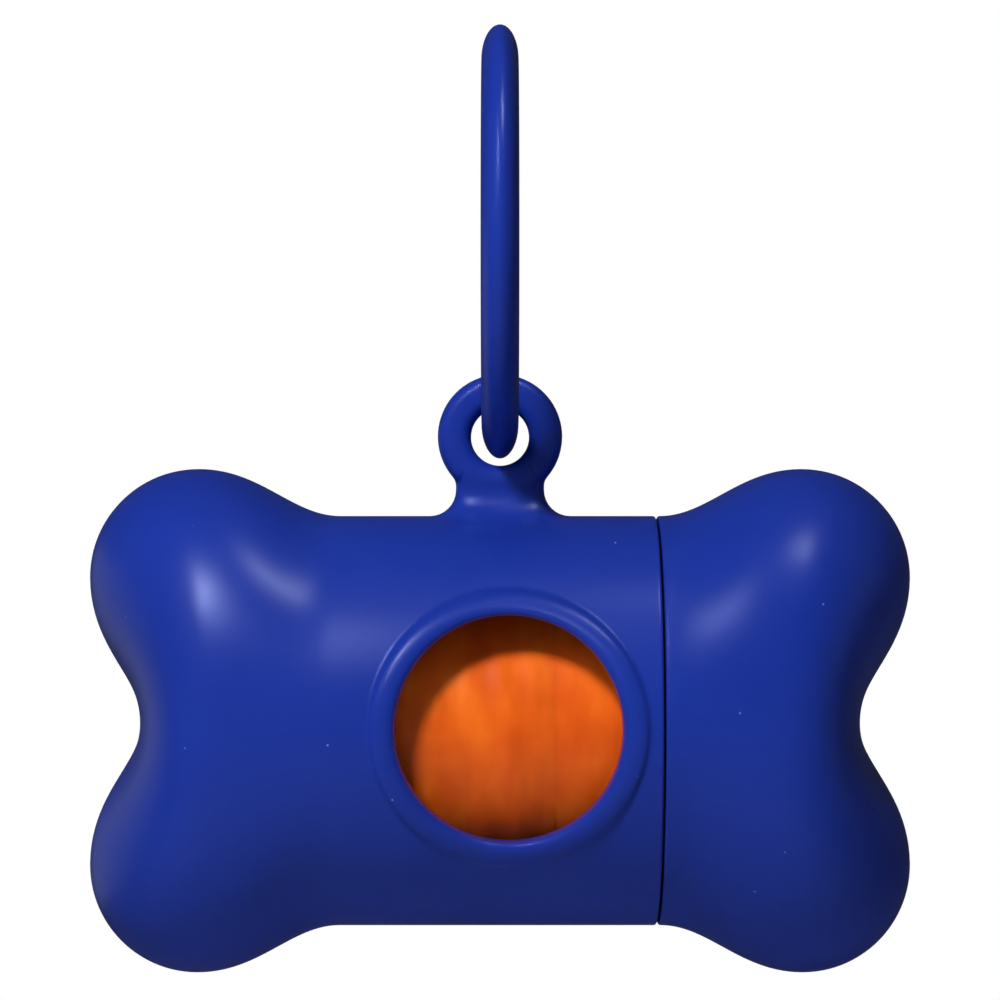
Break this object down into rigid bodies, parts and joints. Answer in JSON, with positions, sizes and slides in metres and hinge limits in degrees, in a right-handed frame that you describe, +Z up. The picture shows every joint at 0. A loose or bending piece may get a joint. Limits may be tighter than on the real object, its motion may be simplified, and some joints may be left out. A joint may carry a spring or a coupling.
{
  "type": "waste bag dispenser",
  "caption": "Bone-shaped case with a pull-off end, a round dispensing window and a hanging ring, holding a roll of waste bags.",
  "frame": {"origin": "inner top of the hanging ring, where the lead or hook lies", "axes": "+Z up, the way the ring hangs; +X along the bone towards the pull-off cap; -Y the front, with the window"},
  "size_m": [0.0818, 0.0432, 0.0945],
  "materials": {
    "soft_shell": "matte moulded silicone",
    "inner_tube": "satin moulded plastic",
    "film": "thin glossy film, wound",
    "core": "raw cardboard"
  },
  "bodies": {
    "ring": {"hang_ring": "soft_shell"},
    "bone": {"body_shell": "soft_shell", "roll_tube": "inner_tube"},
    "cap": {"cap_shell": "soft_shell"},
    "roll": {"roll_core": "core", "bag_roll": "film", "first_bag": "film"}
  },
  "joints": [
    {"name": "eye_swing", "type": "hinge", "parent": "ring", "child": "bone", "pos_m": [0, 0, -0.03615], "axis": [0, 1, 0], "range_deg": [-95, 95]},
    {"name": "cap_pull", "type": "slide", "parent": "bone", "child": "cap", "axis": [1, 0, 0], "range_m": [0, 0.03]},
    {"name": "roll_spin", "type": "hinge", "parent": "bone", "child": "roll", "pos_m": [0, 0, -0.065], "axis": [1, 0, 0], "continuous": true}
  ]
}
